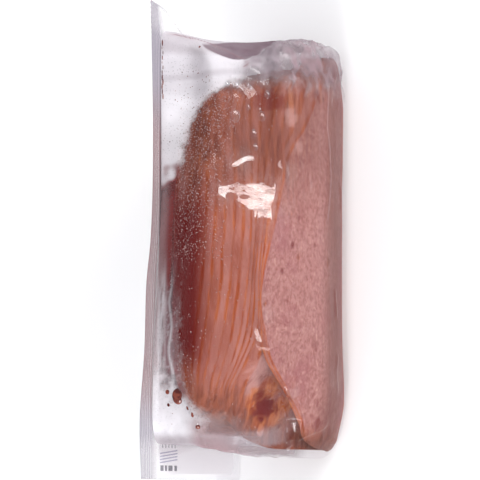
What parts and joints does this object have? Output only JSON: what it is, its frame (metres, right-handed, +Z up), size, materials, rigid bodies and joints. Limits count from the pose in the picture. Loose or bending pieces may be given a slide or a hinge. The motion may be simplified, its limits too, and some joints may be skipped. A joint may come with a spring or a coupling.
{
  "type": "sealed pack of sliced honey ham",
  "caption": "Clear vacuum-formed pack of thick-sliced honey ham with a plain label on its lid, lying on its long side.",
  "frame": {"origin": "middle of the whole pack's box, on the floor", "axes": "+Y along the pack towards its dented upper end, +X from the lid towards the formed face, +Z up from the floor to the long side that is seen"},
  "size_m": [0.0691, 0.211, 0.106],
  "materials": {
    "ham_under_film": "pink sliced ham with browned honey edges under glossy clear film",
    "clear_film": "clear glossy film with ribbed seal lines",
    "label_paper": "smooth white label with plain grey and honey-coloured fields"
  },
  "bodies": {
    "root": {"ham_pack": "ham_under_film", "seal_flange": "clear_film", "back_label": "label_paper"}
  },
  "joints": []
}
